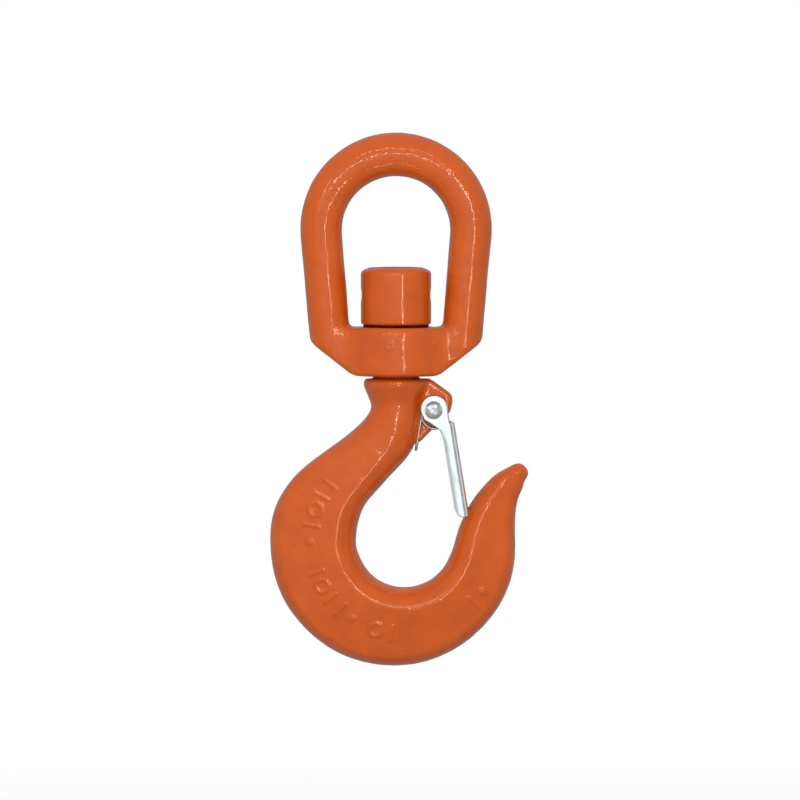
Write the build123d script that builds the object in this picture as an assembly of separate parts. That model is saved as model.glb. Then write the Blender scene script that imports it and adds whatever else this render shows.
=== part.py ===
from build123d import *
from math import cos, radians, sin, sqrt
import os

# Swivel hook: a forged bail and a forged hook joined by a shank that turns in the bail's boss.
# Millimetres. Origin: the bearing point at the top of the bail's eye. +Z up along the shank,
# +X towards the mouth of the hook, -Y the front face.

# --- bail ---------------------------------------------------------------------------------
EYE_R = 21.65                # inner radius of the eye's round top
BAR_R = 8.25                 # the round bar's radius in the legs
CROWN_R = 8.6                # and at the crown
LEG_TAPER = 4.8              # degrees each leg leans inwards
EYE_FLOOR_Z = -60.4          # top face of the boss
BOSS_BOTTOM_Z = -79.9
BOSS_R = 17.5
BOSS_FOOT_HALF = 16.6        # half width of the flat foot
YOKE_SHOULDER_X = 34.65      # where each slanted lower corner starts
YOKE_SHOULDER_Z = -66.0
YOKE_SHOULDER_R = 6.0
YOKE_FOOT_R = 3.5
LEG_END_Z = -69.0            # the legs run into the yoke down to here
YOKE_ARM_HALF = 7.6          # half thickness of the arms beside the boss
YOKE_BLEND_R = 16.0
YOKE_TOP_R = 2.0

# --- shank, nut, washer, pin --------------------------------------------------------------
SHANK_R = 9.0
BORE_CLEARANCE = 0.10
THREAD_CLEARANCE = 0.03
END_FLOAT = 1.1              # gap between boss and collar when the hook hangs
WASHER_T = 0.9
WASHER_R = 13.2
NUT_R = 14.1
NUT_TOP_Z = -36.5
NUT_CROWN = 1.5              # height of the crowned top edge
NUT_CROWN_IN = 3.6
NUT_SHOULDER_R = 2.0
NUT_FOOT_R = 1.3
SHANK_RECESS = 0.9           # the shank's end below the nut's top face
PIN_R = 2.5
PIN_Z = -47.5
PIN_WALL = 0.8
PIN_SLOT = 1.1
PIN_CLEARANCE = 0.02

# --- hook ---------------------------------------------------------------------------------
COLLAR_R = 12.8
COLLAR_RIM = 3.0
NECK_R = 10.25
CONE_END = (8.8, -93.8)      # the cone under the collar ends inside the neck here
BOWL_IN = (3.4, -145.2)      # centre of the bowl's inside
BOWL_IN_R = 19.5
BOWL_OUT = (-1.1, -146.75)   # centre of the bowl's outside
BOWL_OUT_R = 49.1
SADDLE_W = 23.6              # front-to-back width at the saddle
BACK_W = 15.0                # front-to-back width at the outside
NOSE = (48.8, -119.0)
NOSE_R = 4.0
NOSE_TILT = 41.0             # degrees the tip points above +X

# --- latch lug, rivet, latch and spring ---------------------------------------------------
PIVOT = (15.0, -93.3)
LUG_HALF = 4.5
LUG_NOSE_R = 3.8
LUG_EDGE_R = 1.2
RIVET_R = 2.0
RIVET_HOLE_CLEARANCE = 0.08
RIVET_HEAD_R = 3.5
RIVET_HEAD_H = 1.3
LATCH_TILT = 9.2             # degrees the latch leans out from straight down
LATCH_T = 1.4
LATCH_IN_HALF = 7.4          # half the space between the two cheeks
LATCH_BEND_R = 2.2           # outside radius of each folded edge
LATCH_EAR_R = 5.4
LATCH_EAR = (-0.4, 0.35)     # centre of the ear's round end, beside the pivot
LATCH_LENGTH = 44.0
WEB_FACE = 7.3               # the web's outer face, beside the pivot
WEB_START = 6.0
WEB_END = 41.2
FLAT_EDGE = 5.5              # the flat ear's outer edge above the web
CHEEK_EDGE = 2.0             # the cheek's free edge, beside the pivot
WIRE_R = 0.5
WELD_R = 0.62                # a bead where two runs of the wire meet
COIL_R = 5.05
COIL_CENTRE = (15.44, -95.71)
COIL_PITCH = 1.05
COIL_Y = 5.15                # centre of the turn next to the lug
BRIDGE_Z = -109.3
BRIDGE_LEAN = 9.7            # degrees the bridge legs lean from straight down
SPRING_LEG = 24.0

COLLAR_Z = BOSS_BOTTOM_Z - END_FLOAT
NUT_BOTTOM_Z = EYE_FLOOR_Z + WASHER_T
LATCH_OUT_HALF = LATCH_IN_HALF + LATCH_T


def at(point, y=0.0):
    """A point of the XZ plane as a vector."""
    return Vector(point[0], y, point[1])


def cross_drill(radius, z, length):
    """A drill along X."""
    return Pos(0, 0, z) * Rot(0, 90, 0) * Cylinder(radius, length)


def pivot_drill(radius, length):
    """A drill along Y through the latch's pivot."""
    return Pos(PIVOT[0], 0, PIVOT[1]) * Rot(90, 0, 0) * Cylinder(radius, length)


# --- bail ---------------------------------------------------------------------------------
def make_bail():
    lean = radians(LEG_TAPER)
    mid_r = EYE_R + BAR_R
    hip = Vector(mid_r * cos(lean), 0, -EYE_R - mid_r * sin(lean))
    drop = hip.Z - LEG_END_Z
    foot = Vector(hip.X - drop * sin(lean) / cos(lean), 0, LEG_END_Z)
    left_hip = Vector(-hip.X, 0, hip.Z)
    left_foot = Vector(-foot.X, 0, foot.Z)
    crown = Vector(0, 0, CROWN_R)
    path = Wire([
        Line(foot, hip).edge(),
        ThreePointArc(hip, crown, left_hip).edge(),
        Line(left_hip, left_foot).edge(),
    ])
    rings = [
        Plane(origin=foot, z_dir=hip - foot) * Circle(BAR_R),
        Plane(origin=hip, z_dir=hip - foot) * Circle(BAR_R),
        Plane(origin=crown, z_dir=(-1, 0, 0)) * Circle(CROWN_R),
        Plane(origin=left_hip, z_dir=left_foot - left_hip) * Circle(BAR_R),
        Plane(origin=left_foot, z_dir=left_foot - left_hip) * Circle(BAR_R),
    ]
    bar = sweep(rings, path=path, multisection=True)

    # The yoke seen from above: a round boss with an arm to each leg.
    arms = SlotOverall(2 * (foot.X + YOKE_ARM_HALF), 2 * YOKE_ARM_HALF)
    plan = Circle(BOSS_R) + arms
    junctions = [v for v in plan.vertices() if abs(v.X) < BOSS_R]
    plan = fillet(junctions, YOKE_BLEND_R)
    yoke = Pos(0, 0, BOSS_BOTTOM_Z - 3) * extrude(plan, EYE_FLOOR_Z - BOSS_BOTTOM_Z + 3)
    top_rim = yoke.edges().filter_by(lambda e: abs(e.center().Z - EYE_FLOOR_Z) < 0.01)
    yoke = fillet(top_rim, YOKE_TOP_R)

    # The bottom is trimmed to a flat foot with a slanted corner up to each leg.
    trim = Polyline(
        (-1, BOSS_BOTTOM_Z),
        (BOSS_FOOT_HALF, BOSS_BOTTOM_Z),
        (YOKE_SHOULDER_X, YOKE_SHOULDER_Z),
        (YOKE_SHOULDER_X + 0.55, YOKE_SHOULDER_Z + 6),
        (YOKE_SHOULDER_X + 20, YOKE_SHOULDER_Z + 6),
        (YOKE_SHOULDER_X + 20, BOSS_BOTTOM_Z - 20),
        (-1, BOSS_BOTTOM_Z - 20),
        close=True,
    )
    under = make_face(trim)
    foot_corner = [v for v in under.vertices() if abs(v.X - BOSS_FOOT_HALF) < 0.01]
    under = fillet(foot_corner, YOKE_FOOT_R)
    shoulder = [v for v in under.vertices() if abs(v.X - YOKE_SHOULDER_X) < 0.01]
    under = fillet(shoulder, YOKE_SHOULDER_R)
    under = extrude(Plane.XZ * under, 2 * BOSS_R, both=True)
    body = bar + yoke - under - mirror(under, about=Plane.YZ)
    bore_length = EYE_FLOOR_Z - BOSS_BOTTOM_Z + 4
    bore = Pos(0, 0, (EYE_FLOOR_Z + BOSS_BOTTOM_Z) / 2) * Cylinder(SHANK_R + BORE_CLEARANCE, bore_length)
    return body - bore


# --- hook ---------------------------------------------------------------------------------
def outer_point(angle):
    """Where a ray from the bowl's inner centre meets the bowl's outer circle."""
    dx, dz = cos(radians(angle)), sin(radians(angle))
    ox, oz = BOWL_IN[0] - BOWL_OUT[0], BOWL_IN[1] - BOWL_OUT[1]
    along = -(ox * dx + oz * dz)
    reach = along + sqrt(along ** 2 - (ox ** 2 + oz ** 2 - BOWL_OUT_R ** 2))
    return (BOWL_IN[0] + reach * dx, BOWL_IN[1] + reach * dz)


def inner_point(angle):
    return (BOWL_IN[0] + BOWL_IN_R * cos(radians(angle)), BOWL_IN[1] + BOWL_IN_R * sin(radians(angle)))


def slice_face(inner, outer, w_in, w_out, saddle, back, round_r):
    """One cross-section: a round saddle, two flat flanks and a round back."""
    start, end = at(inner), at(outer)
    across = (end - start).normalized()
    thick = (end - start).length

    def place(depth, y):
        return start + across * depth + Vector(0, y, 0)

    shoulder_in, shoulder_out = saddle, thick - back
    half_in, half_out = w_in / 2, w_out / 2
    outline = Wire([
        ThreePointArc(place(shoulder_in, -half_in), start, place(shoulder_in, half_in)).edge(),
        Line(place(shoulder_in, half_in), place(shoulder_out, half_out)).edge(),
        ThreePointArc(place(shoulder_out, half_out), end, place(shoulder_out, -half_out)).edge(),
        Line(place(shoulder_out, -half_out), place(shoulder_in, -half_in)).edge(),
    ])
    face = Face(outline)
    return face.fillet_2d(round_r, face.vertices())


def hook_slices():
    """Cross-sections from the neck round the bowl to the tip."""
    # inner point, outer point, width at the saddle, width at the back, saddle depth, back depth
    neck = [
        ((NECK_R, -87.0), (-NECK_R, -87.0), 20.4, 20.4, 9.4, 9.4),
        ((10.0, -95.5), (-10.3, -94.0), 20.4, 20.4, 9.3, 9.3),
        ((8.8, -103.0), (-14.2, -99.0), 20.7, 20.0, 9.6, 8.8),
        ((5.4, -110.9), (-21.1, -105.0), 21.2, 18.9, 9.4, 7.4),
        ((-0.9, -118.2), (-30.4, -111.7), 21.7, 17.6, 8.6, 5.8),
        ((-7.6, -125.6), (-40.0, -119.7), 22.2, 16.6, 8.0, 4.6),
        ((-13.0, -132.6), (-46.4, -128.8), 22.6, 15.8, 7.8, 3.8),
    ]
    point = [
        ((23.7, -146.0), (47.6, -149.6), 20.4, 14.0, 6.8, 3.8),
        ((25.5, -140.2), (47.4, -143.2), 19.2, 13.4, 6.4, 3.8),
        ((28.3, -134.2), (47.4, -137.6), 18.0, 12.8, 6.2, 3.7),
        ((32.2, -127.8), (47.9, -132.6), 15.8, 11.6, 5.6, 3.5),
        ((37.0, -122.2), (49.1, -128.0), 13.2, 10.4, 4.8, 3.2),
        ((42.2, -118.0), (51.0, -124.0), 10.8, 9.2, 3.9, 2.8),
    ]
    faces = [slice_face(*row, 2.6) for row in neck]
    for step in range(0, 9):
        angle = 178 + 20 * step
        share = max(0.0, (angle - 258) / 80)
        w_in = SADDLE_W - max(0.0, (238 - angle) / 60) - 2.2 * share
        faces.append(slice_face(inner_point(angle), outer_point(angle), w_in, BACK_W - 0.6 * share,
                                7.6 - 0.6 * share, 3.4 + 0.3 * share, 2.6))
    faces += [slice_face(*row, 2.0) for row in point]
    tilt = radians(NOSE_TILT)
    for turn in (0, 32, 56, 74):
        size = NOSE_R * cos(radians(turn))
        cx = NOSE[0] + NOSE_R * sin(radians(turn)) * cos(tilt)
        cz = NOSE[1] + NOSE_R * sin(radians(turn)) * sin(tilt)
        inner = (cx - size * sin(tilt), cz + size * cos(tilt))
        outer = (cx + size * sin(tilt), cz - size * cos(tilt))
        faces.append(slice_face(inner, outer, 2.15 * size, 2.05 * size, 0.85 * size, 0.8 * size, 0.35 * size))
    return faces


def make_lug():
    """The flat ear beside the neck that carries the latch's rivet."""
    outline = Polyline(
        (4.0, COLLAR_Z),
        (13.4, COLLAR_Z),
        (23.0, -87.9),
        (21.6, -94.0),
        (9.6, -106.2),
        (4.0, -107.5),
        close=True,
    )
    plate = make_face(outline)
    nose = [v for v in plate.vertices() if v.X > 22.5]
    plate = fillet(nose, LUG_NOSE_R)
    lug = extrude(Plane.XZ * plate, LUG_HALF, both=True)
    rims = lug.edges().filter_by(lambda e: abs(abs(e.center().Y) - LUG_HALF) < 0.01 and e.center().X > 6)
    return fillet(rims, LUG_EDGE_R)


def make_hook():
    body = loft(hook_slices())
    rim_z = COLLAR_Z - COLLAR_RIM
    profile = Polyline(
        (0, NUT_TOP_Z - SHANK_RECESS),
        (SHANK_R - 1.0, NUT_TOP_Z - SHANK_RECESS),
        (SHANK_R, NUT_TOP_Z - SHANK_RECESS - 1.0),
        (SHANK_R, COLLAR_Z),
        (COLLAR_R - 0.8, COLLAR_Z),
        (COLLAR_R, COLLAR_Z - 0.8),
        (COLLAR_R, rim_z),
        CONE_END,
        (0, CONE_END[1]),
        close=True,
    )
    turned = revolve(Plane.XZ * make_face(profile), Axis.Z)
    body = turned + body + make_lug()
    body -= cross_drill(PIN_R + PIN_CLEARANCE, PIN_Z, 4 * SHANK_R)
    body -= pivot_drill(RIVET_R + RIVET_HOLE_CLEARANCE, 4 * LUG_HALF)
    return body


# --- nut, washer and pin ------------------------------------------------------------------
def make_nut():
    bore_r = SHANK_R + THREAD_CLEARANCE
    profile = Polyline(
        (bore_r, NUT_BOTTOM_Z),
        (NUT_R, NUT_BOTTOM_Z),
        (NUT_R, NUT_TOP_Z - NUT_CROWN),
        (NUT_R - NUT_CROWN_IN, NUT_TOP_Z),
        (bore_r, NUT_TOP_Z),
        close=True,
    )
    nut = revolve(Plane.XZ * make_face(profile), Axis.Z)
    shoulder = [e for e in nut.edges() if abs(e.center().Z - NUT_TOP_Z + NUT_CROWN) < 0.01]
    nut = fillet(shoulder, NUT_SHOULDER_R)
    foot = nut.edges().filter_by(GeomType.CIRCLE).filter_by(lambda e: abs(e.center().Z - NUT_BOTTOM_Z) < 0.01)
    nut = fillet(foot.sort_by(lambda e: e.radius)[-1], NUT_FOOT_R)
    return nut - cross_drill(PIN_R + PIN_CLEARANCE, PIN_Z, 4 * NUT_R)


def make_washer():
    bore_r = SHANK_R + BORE_CLEARANCE
    edge = 0.25
    profile = Polyline(
        (bore_r, EYE_FLOOR_Z),
        (WASHER_R - edge, EYE_FLOOR_Z),
        (WASHER_R, EYE_FLOOR_Z + edge),
        (WASHER_R, NUT_BOTTOM_Z - edge),
        (WASHER_R - edge, NUT_BOTTOM_Z),
        (bore_r, NUT_BOTTOM_Z),
        close=True,
    )
    return revolve(Plane.XZ * make_face(profile), Axis.Z)


def make_pin():
    """A slotted spring pin, its slot facing up."""
    length = 2 * (NUT_R - 0.4)
    tube = Circle(PIN_R) - Circle(PIN_R - PIN_WALL)
    tube -= Pos(PIN_R, 0) * Rectangle(2 * PIN_R, PIN_SLOT)
    pin = extrude(tube, length / 2, both=True)
    return Pos(0, 0, PIN_Z) * Rot(0, -90, 0) * pin


# --- latch --------------------------------------------------------------------------------
def latch_place():
    """The latch's own frame: X runs down the arm, Y points out of the mouth, Z to the front."""
    lean = radians(LATCH_TILT)
    down = Vector(sin(lean), 0, -cos(lean))
    return Plane(origin=at(PIVOT), x_dir=down, z_dir=Vector(0, -1, 0))


def make_latch():
    arm = Polyline(
        (0.6, 5.65),
        (2.4, FLAT_EDGE),
        (WEB_START, FLAT_EDGE),
        (WEB_START, WEB_FACE),
        (LATCH_LENGTH, WEB_FACE),
        (LATCH_LENGTH + 0.3, 4.6),
        (43.0, 2.8),
        (40.6, CHEEK_EDGE),
        (12.6, CHEEK_EDGE),
        (8.4, 1.3),
        (6.6, -0.4),
        (4.6, -2.6),
        (3.3, -4.2),
        (0.3, -5.0),
        (0.0, 0.0),
        close=True,
    )
    plate = make_face(arm)
    plate += Pos(*LATCH_EAR) * Circle(LATCH_EAR_R)
    blank = extrude(plate, LATCH_OUT_HALF, both=True)
    bends = [
        e for e in blank.edges()
        if abs(e.center().Y - WEB_FACE) < 0.01 and abs(abs(e.center().Z) - LATCH_OUT_HALF) < 0.01
    ]
    blank = fillet(bends, LATCH_BEND_R)
    inside_face = WEB_FACE - LATCH_T
    cavity = Pos(LATCH_LENGTH / 2, inside_face - 15) * Box(2 * LATCH_LENGTH, 30, 2 * LATCH_IN_HALF)
    inner_bends = [
        e for e in cavity.edges()
        if abs(e.center().Y - inside_face) < 0.01 and abs(abs(e.center().Z) - LATCH_IN_HALF) < 0.01
    ]
    cavity = fillet(inner_bends, LATCH_BEND_R - LATCH_T)
    shell = blank - cavity
    window = 2 * LATCH_IN_HALF
    shell -= Pos(WEB_START - 15, WEB_FACE) * Box(30, 10, window)
    shell -= Pos(WEB_END + 15, WEB_FACE) * Box(30, 10, window)
    shell -= Cylinder(RIVET_R + RIVET_HOLE_CLEARANCE, 4 * LATCH_OUT_HALF)
    return latch_place() * shell


def make_rivet():
    """A round shank with a low domed head at each end."""
    reach = LATCH_OUT_HALF + 0.05
    shank = Cylinder(RIVET_R, 2 * reach)
    dome_r = (RIVET_HEAD_R ** 2 + RIVET_HEAD_H ** 2) / (2 * RIVET_HEAD_H)
    dome = Pos(0, 0, reach + RIVET_HEAD_H - dome_r) * Sphere(dome_r)
    head = dome & Pos(0, 0, reach + RIVET_HEAD_H) * Cylinder(RIVET_HEAD_R, 2 * RIVET_HEAD_H)
    rivet = shank + head + Rot(180, 0, 0) * head
    return Pos(PIVOT[0], 0, PIVOT[1]) * Rot(90, 0, 0) * rivet


def make_spring():
    """One wire: leg, coil, bridge over the neck, coil, leg. Built as one half and its mirror."""
    cx, cz = COIL_CENTRE
    leave = radians(180 - BRIDGE_LEAN)
    arrive = radians(LATCH_TILT)
    turns = 1 + (leave - arrive) / radians(360)
    start_dir = (cos(leave), 0, sin(leave))
    frame = Plane(origin=(cx, -COIL_Y, cz), x_dir=start_dir, z_dir=(0, -1, 0))
    coil = frame * Helix(COIL_PITCH, COIL_PITCH * turns, COIL_R, lefthand=True)
    top = coil @ 0
    drop = top.Z - BRIDGE_Z
    knee = top + Vector(-drop * sin(radians(BRIDGE_LEAN)) / cos(radians(BRIDGE_LEAN)), 0, -drop)
    bridge = Vector(knee.X, 0, knee.Z)
    run = FilletPolyline(bridge, knee, top, radius=1.6)
    leg_dir = Vector(sin(arrive), 0, -cos(arrive))
    leg = Line(coil @ 1, (coil @ 1) + leg_dir * SPRING_LEG)
    half = wire_along(run) + wire_along(coil) + wire_along(leg)
    for joint in (coil @ 0, coil @ 1):
        half += Pos(joint) * Sphere(WELD_R)
    return half + mirror(half, about=Plane.XZ)


def wire_along(path):
    section = Plane(origin=path @ 0, z_dir=path % 0) * Circle(WIRE_R)
    return sweep(section, path=path, is_frenet=True)


NODES = {
    "bail": make_bail,
    "hook": make_hook,
    "swivel_nut": make_nut,
    "nut_pin": make_pin,
    "thrust_washer": make_washer,
    "latch": make_latch,
    "latch_spring": make_spring,
    "latch_rivet": make_rivet,
}

os.makedirs("parts", exist_ok=True)
for name, make in NODES.items():
    export_step(make(), f"parts/{name}.step")
    print("wrote", name)
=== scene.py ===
"""Swivel hook: the looks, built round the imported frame. Metres, in the frame's own axes.

The origin is the bearing point at the top of the bail's eye, +Z up, +X towards the mouth, -Y the front.
"""

from math import cos, pi, radians, sin, tan

import bmesh
import bpy
import numpy as np
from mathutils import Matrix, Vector, noise


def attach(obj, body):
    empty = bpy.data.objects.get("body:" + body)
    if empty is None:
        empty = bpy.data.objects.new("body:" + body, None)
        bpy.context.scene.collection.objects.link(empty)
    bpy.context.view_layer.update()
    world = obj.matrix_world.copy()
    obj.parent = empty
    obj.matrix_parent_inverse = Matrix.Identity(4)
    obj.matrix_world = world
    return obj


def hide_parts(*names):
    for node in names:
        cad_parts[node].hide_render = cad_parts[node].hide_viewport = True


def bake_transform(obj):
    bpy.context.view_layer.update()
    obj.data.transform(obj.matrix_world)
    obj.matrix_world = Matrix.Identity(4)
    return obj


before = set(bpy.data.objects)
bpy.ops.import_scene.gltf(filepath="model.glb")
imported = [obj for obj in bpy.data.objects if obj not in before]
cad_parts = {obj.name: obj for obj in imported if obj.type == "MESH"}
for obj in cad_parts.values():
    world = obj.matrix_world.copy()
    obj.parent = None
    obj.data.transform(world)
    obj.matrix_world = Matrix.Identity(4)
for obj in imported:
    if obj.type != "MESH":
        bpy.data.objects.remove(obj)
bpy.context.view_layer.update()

MM = 0.001

# --- places shared with the CAD model -----------------------------------------------------
BOWL_CENTRE = Vector((3.4, 0, -145.2)) * MM
MARK_RADIUS = 37.6 * MM          # the ring of raised marks round the bowl
PIVOT = Vector((15.0, 0, -93.3)) * MM
LATCH_TILT = radians(9.2)
COIL_CENTRE = Vector((15.44, 0, -95.71)) * MM
COIL_R = 5.05 * MM
COIL_PITCH = 1.05 * MM
COIL_Y = 5.15 * MM
WIRE_R = 0.5 * MM
BRIDGE_LEAN = radians(9.7)
BRIDGE_Z = -109.3 * MM
SPRING_LEG = 24.0 * MM
CHEEK_EDGE = 2.0 * MM            # the latch cheek's free edge, beside the pivot
CHEEK_FACE = 8.8 * MM            # the latch cheek's outer face, from the middle
EAR_END = 8 * MM                 # from the pivot down to where the cheek is rolled
BOSS_BOTTOM_Z = -79.9 * MM
COLLAR_TOP_Z = -81.0 * MM
SHOULDER_UNDER_NOSE = (51.8, -124.2)    # mm, where the tip's round nose meets the point
COVE_BOTTOM, COVE_TOP, COVE_RIGHT = -102, -84.4, 10     # mm, the hollow under the collar
RELIEF_TOP_Z = -84 * MM          # the forged lumps fade out below the collar
FLASH_TOP_Z = -122 * MM
FLASH_BEYOND_R = 27 * MM         # the flash line runs outside this radius of the bowl
YOKE_TOP_Z = -61 * MM            # the bail is rounder below this
LEG_FOOT_Z = -54 * MM            # and, beside the nut, below this
NUT_SIDE_X = 14 * MM

# --- the skins over the CAD shapes --------------------------------------------------------
PAINT = 0.12 * MM                # how far the painted forgings' skins stand out
FLASH_HEIGHT = 0.14 * MM
FLASH_HALF = 0.9 * MM            # half width of the trimmed flash line
MARK_HEIGHT = 0.42 * MM
MARK_EDGE = 0.45 * MM            # how softly a mark's side slopes
ROLL_MM = 0.32                   # mm, how far a latch cheek falls away at its free edge
RIVET_HEAD_R = 3.6 * MM
RIVET_CREST = 1.15 * MM
RIVET_RIM = 0.3 * MM             # height of the head's outer edge
RIVET_CHAMFER = 0.12 * MM        # under the head's outer edge
RIVET_SHANK_R = 2.0 * MM
DOME_STEPS = 12
DOME_POWER = 3.4                 # higher is flatter on top, with a tighter edge
WIRE_SHOWN_R = WIRE_R * 1.1      # the drawn wire is a little thicker than the CAD's
SPRING_SIDES = 12
RIVET_SIDES = 72


# --- node helpers -------------------------------------------------------------------------
def new_material(name):
    material = bpy.data.materials.new(name)
    material.use_nodes = True
    nodes = material.node_tree.nodes
    return material, nodes, material.node_tree.links, nodes["Principled BSDF"]


def noise_node(nodes, links, scale, detail=3.0, rough=0.5, distortion=0.0):
    """A noise texture in object space. The scale is the size of one blob in metres."""
    place = nodes.new("ShaderNodeTexCoord")
    texture = nodes.new("ShaderNodeTexNoise")
    texture.inputs["Scale"].default_value = 1.0 / scale
    texture.inputs["Detail"].default_value = detail
    texture.inputs["Roughness"].default_value = rough
    texture.inputs["Distortion"].default_value = distortion
    links.new(place.outputs["Object"], texture.inputs["Vector"])
    return texture.outputs["Fac"]


def ramp_node(nodes, links, source, stops):
    """A colour ramp. Stops are (place, colour)."""
    ramp = nodes.new("ShaderNodeValToRGB")
    elements = ramp.color_ramp.elements
    for element, (place, colour) in zip(elements, (stops[0], stops[-1])):
        element.position = place
        element.color = (*colour, 1)
    for place, colour in stops[1:-1]:
        elements.new(place).color = (*colour, 1)
    links.new(source, ramp.inputs["Fac"])
    return ramp.outputs["Color"]


def range_node(nodes, links, source, low, high, out_low, out_high):
    """The source's low..high, clamped, as out_low..out_high."""
    node = nodes.new("ShaderNodeMapRange")
    for key, value in zip(("From Min", "From Max", "To Min", "To Max"), (low, high, out_low, out_high)):
        node.inputs[key].default_value = value
    links.new(source, node.inputs["Value"])
    return node.outputs["Result"]


def mix_node(nodes, links, factor, colour_a, colour_b):
    """Colour A at factor 0, colour B at 1. Each may be a colour or a socket."""
    node = nodes.new("ShaderNodeMix")
    node.data_type = "RGBA"
    links.new(factor, next(s for s in node.inputs if s.name == "Factor" and s.type == "VALUE"))
    for key, value in (("A", colour_a), ("B", colour_b)):
        socket = next(s for s in node.inputs if s.name == key and s.type == "RGBA")
        if isinstance(value, bpy.types.NodeSocket):
            links.new(value, socket)
        else:
            socket.default_value = (*value, 1)
    return next(s for s in node.outputs if s.type == "RGBA")


def bump_node(nodes, links, height, distance, below=None):
    """A bump of the given height in metres, on top of the bump below it."""
    node = nodes.new("ShaderNodeBump")
    node.inputs["Distance"].default_value = distance
    links.new(height, node.inputs["Height"])
    if below is not None:
        links.new(below, node.inputs["Normal"])
    return node.outputs["Normal"]


# --- materials ----------------------------------------------------------------------------
def orange_enamel(name="orange_enamel", lumps=1.0):
    """Glossy enamel laid thick over a scaly forging."""
    material, nodes, links, shader = new_material(name)
    cloud = noise_node(nodes, links, 9 * MM, 4.0, 0.55)
    colour = ramp_node(nodes, links, cloud, [
        (0.30, (0.550, 0.085, 0.003)), (0.55, (0.600, 0.097, 0.004)), (0.75, (0.630, 0.107, 0.005)),
    ])
    specks = noise_node(nodes, links, 0.7 * MM, 2.0, 0.6)
    thin = range_node(nodes, links, specks, 0.66, 0.78, 0.0, 0.35)
    colour = mix_node(nodes, links, thin, colour, (0.42, 0.070, 0.012))
    # Painted shade: the colour darkens in hollows and creases, where shade would fall.
    crease = nodes.new("ShaderNodeNewGeometry").outputs["Pointiness"]
    hollow = range_node(nodes, links, crease, 0.47, 0.40, 0.0, 0.55)
    colour = mix_node(nodes, links, hollow, colour, (0.30, 0.050, 0.012))
    links.new(colour, shader.inputs["Base Color"])
    links.new(range_node(nodes, links, cloud, 0.3, 0.7, 0.40, 0.30), shader.inputs["Roughness"])
    fine = noise_node(nodes, links, 1.6 * MM, 2.0, 0.5)
    coarse = noise_node(nodes, links, 4.0 * MM, 2.0, 0.5, 0.6)
    peel = bump_node(nodes, links, fine, 0.08 * MM * lumps)
    scale = bump_node(nodes, links, coarse, 0.12 * MM * lumps, peel)
    for socket in ("Normal", "Coat Normal"):
        links.new(scale, shader.inputs[socket])
    shader.inputs["Coat Weight"].default_value = 0.9
    shader.inputs["Coat Roughness"].default_value = 0.02
    shader.inputs["Specular IOR Level"].default_value = 0.25
    return material


def zinc_plate():
    """Bright zinc over stamped sheet: faint rolling lines, pale blue bloom, dull spots."""
    material, nodes, links, shader = new_material("bright_zinc")
    bloom = noise_node(nodes, links, 6 * MM, 3.0, 0.6, 0.4)
    colour = ramp_node(nodes, links, bloom, [
        (0.30, (0.66, 0.72, 0.76)), (0.55, (0.80, 0.84, 0.86)), (0.78, (0.74, 0.77, 0.76)),
    ])
    dots = noise_node(nodes, links, 0.45 * MM, 2.0, 0.5)
    dull = range_node(nodes, links, dots, 0.64, 0.76, 0.0, 0.4)
    links.new(mix_node(nodes, links, dull, colour, (0.50, 0.53, 0.55)), shader.inputs["Base Color"])
    shader.inputs["Metallic"].default_value = 1.0
    links.new(range_node(nodes, links, bloom, 0.3, 0.7, 0.30, 0.42), shader.inputs["Roughness"])
    grain = bump_node(nodes, links, noise_node(nodes, links, 0.35 * MM, 3.0, 0.6), 0.008 * MM)
    dents = bump_node(nodes, links, noise_node(nodes, links, 4 * MM, 2.0, 0.5), 0.05 * MM, grain)
    links.new(dents, shader.inputs["Normal"])
    return material


def steel(name, base, dark, roughness, blob=1.5 * MM, bump=0.01 * MM):
    """Bare or plated steel with uneven tone."""
    material, nodes, links, shader = new_material(name)
    cloud = noise_node(nodes, links, blob, 4.0, 0.6)
    links.new(ramp_node(nodes, links, cloud, [(0.35, dark), (0.65, base)]), shader.inputs["Base Color"])
    shader.inputs["Metallic"].default_value = 1.0
    links.new(range_node(nodes, links, cloud, 0.3, 0.7, roughness + 0.1, roughness - 0.05),
              shader.inputs["Roughness"])
    links.new(bump_node(nodes, links, cloud, bump), shader.inputs["Normal"])
    return material


# --- mesh helpers -------------------------------------------------------------------------
def new_object(name, shell):
    """An object whose mesh is the shell, which is freed."""
    mesh = bpy.data.meshes.new(name)
    shell.to_mesh(mesh)
    shell.free()
    obj = bpy.data.objects.new(name, mesh)
    bpy.context.scene.collection.objects.link(obj)
    return obj


def node_copy(name, node):
    """A welded copy of a CAD node's mesh, as a new object."""
    shell = bmesh.new()
    shell.from_mesh(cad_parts[node].data)
    bmesh.ops.remove_doubles(shell, verts=shell.verts, dist=0.002 * MM)
    return new_object(name, shell)


def apply_modifiers(obj):
    """Make what the modifiers show the object's own mesh."""
    depsgraph = bpy.context.evaluated_depsgraph_get()
    mesh = bpy.data.meshes.new_from_object(obj.evaluated_get(depsgraph))
    obj.modifiers.clear()
    obj.data = mesh
    return obj


def remeshed(obj, voxel, passes):
    """Even quads of the voxel's size, then rounded edges: more passes, rounder."""
    remesh = obj.modifiers.new("voxels", "REMESH")
    remesh.mode = "VOXEL"
    remesh.voxel_size = voxel
    rounding = obj.modifiers.new("rounding", "SMOOTH")
    rounding.factor = 0.5
    rounding.iterations = passes
    return apply_modifiers(obj)


def round_off(obj, share, passes):
    """Round the edges further where the share is above 0."""
    soft = obj.vertex_groups.new(name="soft")
    for step in range(1, 11):
        chosen = np.flatnonzero((share * 10).clip(0, 10).round() == step)
        soft.add([int(index) for index in chosen], step / 10, "REPLACE")
    rounding = obj.modifiers.new("rounding", "SMOOTH")
    rounding.vertex_group = "soft"
    rounding.factor = 0.5
    rounding.iterations = passes
    return apply_modifiers(obj)


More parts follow.
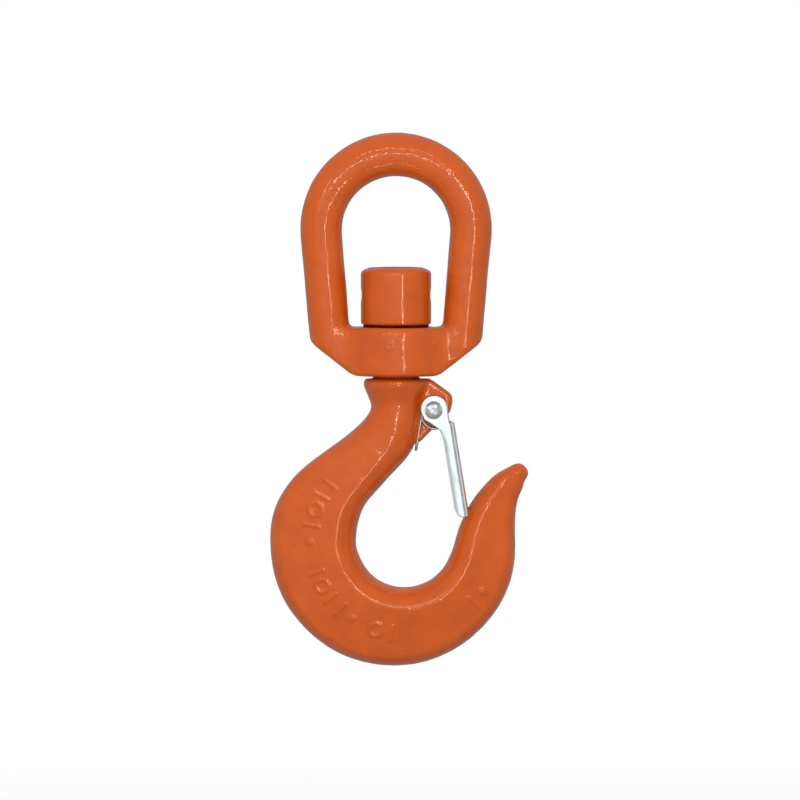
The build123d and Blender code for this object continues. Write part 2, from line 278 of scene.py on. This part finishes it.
def mesh_arrays(mesh):
    """The vertices' places and normals, one row each."""
    count = len(mesh.vertices)
    places = np.empty(count * 3, np.float32)
    normals = np.empty(count * 3, np.float32)
    mesh.vertices.foreach_get("co", places)
    mesh.vertex_normals.foreach_get("vector", normals)
    return places.reshape(-1, 3).astype(float), normals.reshape(-1, 3).astype(float)


def push_out(mesh, distance):
    """Move each vertex along its normal by its own distance."""
    places, normals = mesh_arrays(mesh)
    moved = places + normals * distance[:, None]
    mesh.vertices.foreach_set("co", moved.astype(np.float32).ravel())
    mesh.update()


def waves(places, blob, octaves=2, seed=0.0):
    """Smooth noise from -1 to 1 with blobs of the given size."""
    shift = Vector((seed, 2.3 * seed, -1.7 * seed))
    return np.array([noise.fractal(Vector(p) / blob + shift, 1.0, 2.0, octaves) for p in places])


def step_up(distance, soft):
    """1 well inside a shape, 0 well outside it; distance is negative inside."""
    share = np.clip(0.5 - distance / (2 * soft), 0, 1)
    return share * share * (3 - 2 * share)


def coat(obj, material):
    """Give the object one material and smooth shading."""
    obj.data.materials.clear()
    obj.data.materials.append(material)
    for polygon in obj.data.polygons:
        polygon.use_smooth = True


def finish_piece(obj, material, body, slot, *nodes):
    """Coat a piece and let it ride its body in place of its CAD nodes."""
    coat(obj, material)
    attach(obj, body)
    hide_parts(*nodes)
    return obj


# --- hook ---------------------------------------------------------------------------------
def bar_shape(along, out, half_along, half_out):
    """Distance to a round-cornered bar."""
    radius = min(half_along, half_out)
    across = np.abs(along) - (half_along - radius)
    upward = np.abs(out) - (half_out - radius)
    return np.hypot(np.maximum(across, 0), np.maximum(upward, 0)) - radius


def ring_shape(along, out, radius, half_width):
    """Distance to a ring of the given middle radius."""
    return np.abs(np.hypot(along, out) - radius) - half_width


# Plain raised marks: (degrees round the bowl, kind). They stand for forge and rating marks.
FRONT_MARKS = [
    (143, "bar"), (152, "bar"), (161, "ring"), (171, "bar"), (181, "dot"),
    (200, "bar"), (209, "ring"), (218, "bar"), (227, "bar"), (236, "dot"),
    (252, "ring"), (262, "bar"), (318, "bar"), (327, "dot"),
]
BACK_MARKS = [
    (150, "dot"), (160, "bar"), (170, "bar"), (180, "ring"), (205, "bar"), (215, "dot"), (225, "bar"),
]
# On the boss: (x mm, z mm, kind, share of the full height).
BOSS_MARKS = [(-2.4, -67.4, "loop", 0.8), (13.8, -66.8, "dash", 0.7), (13.4, -71.6, "bar", 0.35)]


def mark_shape(kind, along, out):
    """Distance to a raised bar, ring, dot or dash."""
    if kind == "bar":
        return bar_shape(along, out, 0.65 * MM, 3.6 * MM)
    if kind == "dash":
        return bar_shape(along, out, 2.4 * MM, 0.8 * MM)
    if kind == "ring":
        return ring_shape(along, out, 2.6 * MM, 0.6 * MM)
    if kind == "loop":
        return ring_shape(along, out, 1.3 * MM, 0.5 * MM)
    return np.hypot(along, out) - 1.5 * MM


def raised_marks(places, normals, marks, side):
    """How far each vertex of one flank of the bowl stands out for the raised marks."""
    around_x = places[:, 0] - BOWL_CENTRE.x
    around_z = places[:, 2] - BOWL_CENTRE.z
    out = np.hypot(around_x, around_z) - MARK_RADIUS
    angle = np.arctan2(around_z, around_x)
    height = np.zeros(len(places))
    for degrees_round, kind in marks:
        turn = (angle - radians(degrees_round) + pi) % (2 * pi) - pi
        height = np.maximum(height, step_up(mark_shape(kind, turn * MARK_RADIUS, out), MARK_EDGE))
    return height * faces_side(normals, side) * MARK_HEIGHT


def boss_marks(places, normals):
    """How far each vertex of the boss's front stands out for its marks."""
    height = np.zeros(len(places))
    for x, z, kind, tall in BOSS_MARKS:
        shape = mark_shape(kind, places[:, 0] - x * MM, places[:, 2] - z * MM)
        height = np.maximum(height, tall * step_up(shape, MARK_EDGE))
    return height * faces_side(normals, -1) * MARK_HEIGHT


def faces_side(normals, side):
    """1 where a vertex faces the front (side -1) or the back (side 1), 0 elsewhere."""
    return np.clip((side * normals[:, 1] - 0.6) / 0.25, 0, 1)


def forged_relief(places, seed=0.0):
    """Hammer scale under the paint: broad swells, then small lumps."""
    swell = waves(places, 16 * MM, 2, seed)
    lumps = waves(places, 4.5 * MM, 2, seed + 7)
    return (0.12 * swell + 0.05 * lumps) * MM


def flash_line(places, normals):
    """The trimmed flash along the middle of the hook's outside."""
    facing = np.clip((0.5 - np.abs(normals[:, 1])) / 0.3, 0, 1)
    low = np.clip((FLASH_TOP_Z - places[:, 2]) / (8 * MM), 0, 1)
    from_centre = np.hypot(places[:, 0] - BOWL_CENTRE.x, places[:, 2] - BOWL_CENTRE.z)
    outside = from_centre > FLASH_BEYOND_R
    return step_up(np.abs(places[:, 1]) - FLASH_HALF, 0.6 * MM) * facing * low * outside * FLASH_HEIGHT


def make_hook():
    """The forging's painted skin: softened cove and nose, relief, marks and flash."""
    obj = remeshed(node_copy("hook_forging", "hook"), voxel=0.54 * MM, passes=8)
    places, _ = mesh_arrays(obj.data)
    x, z = places[:, 0] / MM, places[:, 2] / MM
    in_height = np.clip((z - COVE_BOTTOM) / 4, 0, 1) * np.clip(COVE_TOP - z, 0, 1)
    cove = in_height * np.clip((COVE_RIGHT - x) / 2, 0, 1)
    from_nose = np.hypot(x - SHOULDER_UNDER_NOSE[0], z - SHOULDER_UNDER_NOSE[1])
    under_nose = np.clip(2 - from_nose / 2.5, 0, 1)
    round_off(obj, np.maximum(cove, under_nose), passes=60)
    places, normals = mesh_arrays(obj.data)
    below_collar = np.clip((RELIEF_TOP_Z - places[:, 2]) / (4 * MM), 0, 1)
    out = forged_relief(places) * below_collar
    out += raised_marks(places, normals, FRONT_MARKS, -1)
    out += raised_marks(places, normals, BACK_MARKS, 1)
    out += flash_line(places, normals)
    # The collar's top isn't pushed out, so that it clears the boss when the hook is lifted.
    above = places[:, 2] > COLLAR_TOP_Z - 0.8 * MM
    below = places[:, 2] < COLLAR_TOP_Z + 1.0 * MM
    collar_top = above & below & (normals[:, 2] > 0.5)
    push_out(obj.data, out + np.where(collar_top, 0.0, PAINT))
    return finish_piece(obj, ENAMEL, "hook", "paint", "hook")


# --- bail ---------------------------------------------------------------------------------
def make_bail():
    """The bail's painted skin, rounder in the yoke and where the legs join it."""
    obj = remeshed(node_copy("bail_forging", "bail"), voxel=0.5 * MM, passes=20)
    places, _ = mesh_arrays(obj.data)
    beside_nut = np.clip((np.abs(places[:, 0]) - NUT_SIDE_X) / (3 * MM), 0, 1)
    yoke = np.maximum(YOKE_TOP_Z - places[:, 2], (LEG_FOOT_Z - places[:, 2]) * beside_nut)
    round_off(obj, yoke / (3 * MM), passes=60)
    places, normals = mesh_arrays(obj.data)
    out = forged_relief(places, 4.0) + boss_marks(places, normals) + PAINT
    # The boss's foot isn't pushed out either, to clear the collar.
    foot = (places[:, 2] < BOSS_BOTTOM_Z + 1.1 * MM) & (normals[:, 2] < -0.5)
    push_out(obj.data, np.where(foot, 0.0, out))
    return finish_piece(obj, ENAMEL, "bail", "paint", "bail")


# --- nut ----------------------------------------------------------------------------------
def make_nut():
    """Turned, so it is smoother than the forgings."""
    obj = remeshed(node_copy("cap_nut", "swivel_nut"), voxel=0.35 * MM, passes=5)
    places, _ = mesh_arrays(obj.data)
    push_out(obj.data, waves(places, 7 * MM, 2, 9) * 0.03 * MM)
    return finish_piece(obj, ENAMEL_TURNED, "hook", "paint", "swivel_nut")


# --- latch --------------------------------------------------------------------------------
def make_latch():
    """Stamped zinc-plated sheet."""
    obj = remeshed(node_copy("latch_channel", "latch"), voxel=0.2 * MM, passes=8)
    places, normals = mesh_arrays(obj.data)
    # The stamping leaves each cheek rolled over towards its free edge.
    x, z = places[:, 0] - PIVOT.x, places[:, 2] - PIVOT.z
    down = x * sin(LATCH_TILT) - z * cos(LATCH_TILT)
    across = x * cos(LATCH_TILT) + z * sin(LATCH_TILT)
    near_edge = np.clip(1 - (across - CHEEK_EDGE) / (2.3 * MM), 0, 1) ** 2
    below_ear = np.clip((down - EAR_END) / (5 * MM), 0, 1)
    on_cheek = np.clip((np.abs(places[:, 1]) - CHEEK_FACE + 0.7 * MM) / (0.5 * MM), 0, 1)
    rolled = near_edge * below_ear * on_cheek * np.abs(normals[:, 1]) * ROLL_MM
    push_out(obj.data, (waves(places, 5 * MM, 2, 2) * 0.03 + 0.05 - rolled) * MM)
    return finish_piece(obj, ZINC, "latch", "zinc_sheet", "latch")


def rivet_outline(half):
    """Radius and depth from the front head's crest to the back head's."""
    outline = [(0.0, half + RIVET_CREST)]
    for step in range(1, DOME_STEPS + 1):
        share = sin(step / DOME_STEPS * pi / 2)
        rise = (RIVET_CREST - RIVET_RIM) * (1 - share ** DOME_POWER)
        outline.append((RIVET_HEAD_R * share, half + RIVET_RIM + rise))
    outline += [(RIVET_HEAD_R, half + RIVET_CHAMFER), (RIVET_HEAD_R - RIVET_CHAMFER, half)]
    outline += [(RIVET_SHANK_R, half), (RIVET_SHANK_R, 0.0)]
    return outline + [(radius, -depth) for radius, depth in reversed(outline[:-1])]


def turned(name, outline, centre, sides):
    """A shape turned about an axis along Y through the centre."""
    shell = bmesh.new()
    rings = []
    for radius, depth in outline:
        turns = [2 * pi * turn / sides for turn in range(sides)] if radius else [0.0]
        spots = [centre + Vector((radius * cos(t), -depth, radius * sin(t))) for t in turns]
        rings.append([shell.verts.new(spot) for spot in spots])
    for low, high in zip(rings, rings[1:]):
        for turn in range(sides):
            near = [ring[turn % len(ring)] for ring in (low, high)]
            far = [ring[(turn + 1) % len(ring)] for ring in (low, high)]
            corners = [near[0], far[0], far[1], near[1]]
            shell.faces.new(list(dict.fromkeys(corners)))
    bmesh.ops.recalc_face_normals(shell, faces=shell.faces)
    return new_object(name, shell)


def make_rivet():
    """A shank between two domed heads, each beaten into a few facets."""
    half = CHEEK_FACE + 0.05 * MM
    obj = turned("rivet_hammered", rivet_outline(half), PIVOT, RIVET_SIDES)
    places, _ = mesh_arrays(obj.data)
    on_head = np.clip((np.abs(places[:, 1]) - half - 0.2 * MM) / (0.5 * MM), 0, 1)
    push_out(obj.data, waves(places, 2.0 * MM, 2, 5) * 0.22 * MM * on_head)
    return finish_piece(obj, RIVET_STEEL, "hook", "rivet_steel", "latch_rivet")


def spring_half():
    """Points of the front half of the wire, from the leg in the latch to the middle of the bridge."""
    leave = pi - BRIDGE_LEAN
    arrive = LATCH_TILT
    turns = 1 + (leave - arrive) / (2 * pi)
    steps = int(40 * turns)
    coil = []
    for step in range(steps + 1):
        share = step / steps
        angle = arrive + share * turns * 2 * pi
        depth = COIL_Y + COIL_PITCH * turns * (1 - share)
        coil.append(COIL_CENTRE + Vector((COIL_R * cos(angle), -depth, COIL_R * sin(angle))))
    down = Vector((sin(arrive), 0, -cos(arrive)))
    leg = [coil[0] + down * SPRING_LEG * share for share in (1.0, 0.75, 0.5, 0.25)]
    top = coil[-1]
    drop = top.z - BRIDGE_Z
    knee = top + Vector((-drop * tan(BRIDGE_LEAN), 0, -drop))
    bend = 1.6 * MM
    up = (top - knee).normalized()
    run = [top + (knee + up * bend - top) * share for share in (0.3, 0.6, 1.0)]
    corner = []
    for step in range(1, 6):
        angle = step / 6 * pi / 2
        corner.append(knee + up * bend * (1 - sin(angle)) + Vector((0, 1, 0)) * bend * (1 - cos(angle)))
    return leg + coil + run + corner + [knee + Vector((0, bend, 0)), Vector((knee.x, 0, knee.z))]


def tube(name, points, radius):
    """A round wire along the points, with its ends narrowed."""
    tip = radius * 0.6
    start = points[0] - (points[1] - points[0]).normalized() * tip
    finish = points[-1] + (points[-1] - points[-2]).normalized() * tip
    side = (points[1] - points[0]).normalized().orthogonal().normalized()
    sizes = [tip] + [radius] * len(points) + [tip]
    points = [start] + points + [finish]
    shell = bmesh.new()
    rings = []
    for index, (point, size) in enumerate(zip(points, sizes)):
        after = points[min(index + 1, len(points) - 1)]
        before = points[max(index - 1, 0)]
        forward = (after - before).normalized()
        side = (side - forward * side.dot(forward)).normalized()
        up = forward.cross(side)
        turns = [2 * pi * turn / SPRING_SIDES for turn in range(SPRING_SIDES)]
        rings.append([shell.verts.new(point + (side * cos(t) + up * sin(t)) * size) for t in turns])
    for low, high in zip(rings, rings[1:]):
        for turn in range(SPRING_SIDES):
            after = (turn + 1) % SPRING_SIDES
            shell.faces.new((low[turn], low[after], high[after], high[turn]))
    shell.faces.new(list(reversed(rings[0])))
    shell.faces.new(rings[-1])
    bmesh.ops.recalc_face_normals(shell, faces=shell.faces)
    return new_object(name, shell)


def make_spring():
    """One wire: on each side a leg in the latch and a coil, joined by the bridge."""
    front = spring_half()
    back = [Vector((p.x, -p.y, p.z)) for p in reversed(front[:-1])]
    obj = tube("torsion_spring", front + back, WIRE_SHOWN_R)
    coat(obj, WIRE_STEEL)
    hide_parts("latch_spring")
    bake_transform(obj)
    return obj


# --- room ---------------------------------------------------------------------------------
FLOOR_Z = -300 * MM
FLOOR_R = 6.0
CAMERA_AIM = Vector((1.6, 0, -89.6)) * MM
CAMERA_ELEVATION = radians(2.5)
CAMERA_DISTANCE = 3.0
VIEW_WIDTH = 320 * MM
WARM = (1.0, 0.80, 0.60)


def make_floor():
    """A pale floor that fades into the white room."""
    shell = bmesh.new()
    bmesh.ops.create_circle(shell, cap_ends=True, segments=96, radius=FLOOR_R)
    floor = new_object("floor", shell)
    floor.location.z = FLOOR_Z
    material, nodes, links, shader = new_material("pale_floor")
    shader.inputs["Base Color"].default_value = (0.86, 0.86, 0.85, 1)
    shader.inputs["Roughness"].default_value = 0.9
    place = nodes.new("ShaderNodeTexCoord")
    length = nodes.new("ShaderNodeVectorMath")
    length.operation = "LENGTH"
    links.new(place.outputs["Object"], length.inputs[0])
    fade = range_node(nodes, links, length.outputs["Value"], 0.15, 0.70, 0.0, 1.0)
    glow = nodes.new("ShaderNodeEmission")
    mixer = nodes.new("ShaderNodeMixShader")
    links.new(fade, mixer.inputs["Fac"])
    links.new(shader.outputs["BSDF"], mixer.inputs[1])
    links.new(glow.outputs["Emission"], mixer.inputs[2])
    links.new(mixer.outputs["Shader"], nodes["Material Output"].inputs["Surface"])
    floor.data.materials.append(material)
    # It neither shows in the enamel nor throws light up at the hook.
    floor.visible_glossy = False
    floor.visible_diffuse = False


def make_world():
    """White to the eye, a soft grey as a light, darker below, and a plain grey in reflections."""
    world = bpy.data.worlds.new("room")
    bpy.context.scene.world = world
    world.use_nodes = True
    nodes, links = world.node_tree.nodes, world.node_tree.links
    ray = nodes.new("ShaderNodeLightPath")
    place = nodes.new("ShaderNodeTexCoord")
    split = nodes.new("ShaderNodeSeparateXYZ")
    links.new(place.outputs["Generated"], split.inputs["Vector"])
    height = range_node(nodes, links, split.outputs["Z"], -0.5, 0.6, 0.0, 1.0)
    soft = mix_node(nodes, links, height, (0.36, 0.36, 0.36), (0.80, 0.80, 0.81))
    colour = mix_node(nodes, links, ray.outputs["Is Glossy Ray"], soft, (0.32, 0.31, 0.30))
    colour = mix_node(nodes, links, ray.outputs["Is Camera Ray"], colour, (1.0, 1.0, 1.0))
    links.new(colour, nodes["Background"].inputs["Color"])


def area_light(name, azimuth, elevation, distance, width, height, radiance, glossy=True, tint=(1, 1, 1)):
    """A soft panel aimed at the middle of the hook. Azimuth 0 is in front, + to the right."""
    data = bpy.data.lights.new(name, "AREA")
    data.shape = "RECTANGLE"
    data.size, data.size_y = width, height
    data.energy = radiance * pi * width * height
    lamp = bpy.data.objects.new(name, data)
    a, e = radians(azimuth), radians(elevation)
    lamp.location = CAMERA_AIM + distance * Vector((sin(a) * cos(e), -cos(a) * cos(e), sin(e)))
    lamp.rotation_euler = (CAMERA_AIM - lamp.location).to_track_quat("-Z", "Y").to_euler()
    lamp.visible_glossy = glossy
    lamp.visible_camera = False
    data.color = tint
    bpy.context.scene.collection.objects.link(lamp)
    return lamp


def seen_only_by(lamps, objs):
    """Light linking: these lamps light only these objects."""
    group = bpy.data.collections.new(lamps[0].name)
    for obj in objs:
        group.objects.link(obj)
    for lamp in lamps:
        lamp.light_linking.receiver_collection = group


def make_lights(hook, upper, plated):
    """Fills for everything, and for each kind of surface the panels that it mirrors."""
    # Each: name, azimuth, elevation, distance, width, height, radiance.
    area_light("fill_front", -8, 3, 2.0, 1.6, 1.6, 1.98, glossy=False)
    area_light("fill_back", 174, 24, 2.2, 1.6, 1.4, 2.2, glossy=False)
    area_light("fill_left", -100, -8, 2.0, 1.0, 1.4, 1.1, glossy=False)
    area_light("fill_top", 0, 85, 1.8, 1.2, 1.2, 0.4, glossy=False)
    seen_only_by([
        area_light("strip_right", 20.5, 0, 1.6, 0.04, 1.3, 26, tint=WARM),
        area_light("strip_above", 2, 11.5, 1.6, 1.1, 0.03, 22, tint=WARM),
        area_light("strip_high", 0, 37, 1.6, 0.9, 0.045, 9, tint=WARM),
        area_light("strip_below", 2, -46, 1.6, 1.0, 0.045, 10, tint=WARM),
        area_light("strip_left", -30, 13, 1.6, 0.05, 0.36, 11, tint=WARM),
    ], upper)
    seen_only_by([
        area_light("strip_hook", 9, -1, 1.6, 0.045, 0.8, 26, tint=WARM),
        area_light("strip_bowl", 6, 12, 1.6, 0.78, 0.035, 24, tint=WARM),
        area_light("strip_saddle", 0, 33, 1.6, 0.9, 0.05, 20, tint=WARM),
    ], hook)
    seen_only_by([
        area_light("card_front", 0, 4, 2.0, 1.1, 1.0, 1.95, tint=(0.95, 0.98, 1.0)),
        area_light("card_right", 75, 10, 1.6, 1.0, 1.0, 0.75),
        area_light("card_left", -60, 10, 1.6, 0.8, 1.0, 0.7),
        area_light("card_back", 180, 10, 2.0, 1.0, 1.0, 1.2),
    ], plated)


def make_camera():
    """Just above level and far off, at the photo's angle."""
    data = bpy.data.cameras.new("camera")
    data.sensor_width = 36.0
    data.lens = 36.0 * CAMERA_DISTANCE / VIEW_WIDTH
    data.clip_end = 50
    camera = bpy.data.objects.new("camera", data)
    back = Vector((0, -cos(CAMERA_ELEVATION), sin(CAMERA_ELEVATION)))
    camera.location = CAMERA_AIM + back * CAMERA_DISTANCE
    camera.rotation_euler = (-back).to_track_quat("-Z", "Y").to_euler()
    bpy.context.scene.collection.objects.link(camera)
    bpy.context.scene.camera = camera


# --- the whole ----------------------------------------------------------------------------
make_camera()
make_world()
make_floor()

ENAMEL = orange_enamel()
ENAMEL_TURNED = orange_enamel("orange_enamel_turned", 0.4)
ZINC = zinc_plate()
RIVET_STEEL = steel("hammered_rivet", (0.90, 0.90, 0.89), (0.64, 0.65, 0.65), 0.36)
WIRE_STEEL = steel("spring_wire", (0.74, 0.73, 0.70), (0.50, 0.48, 0.45), 0.28, 0.9 * MM)
# The washer is real steel, but its near-black brown is painted shade, so the thin gap under the nut
# reads as a dark shadow band.
WASHER_PAINTED_SHADE = steel("washer_painted_shade", (0.12, 0.075, 0.055), (0.05, 0.03, 0.025), 0.45)

make_lights([make_hook()], [make_bail(), make_nut()], [make_latch(), make_rivet(), make_spring()])
for node, material in (("thrust_washer", WASHER_PAINTED_SHADE), ("nut_pin", ENAMEL_TURNED)):
    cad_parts[node].data.materials.clear()
    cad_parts[node].data.materials.append(material)

bpy.context.scene.view_settings.view_transform = "Standard"
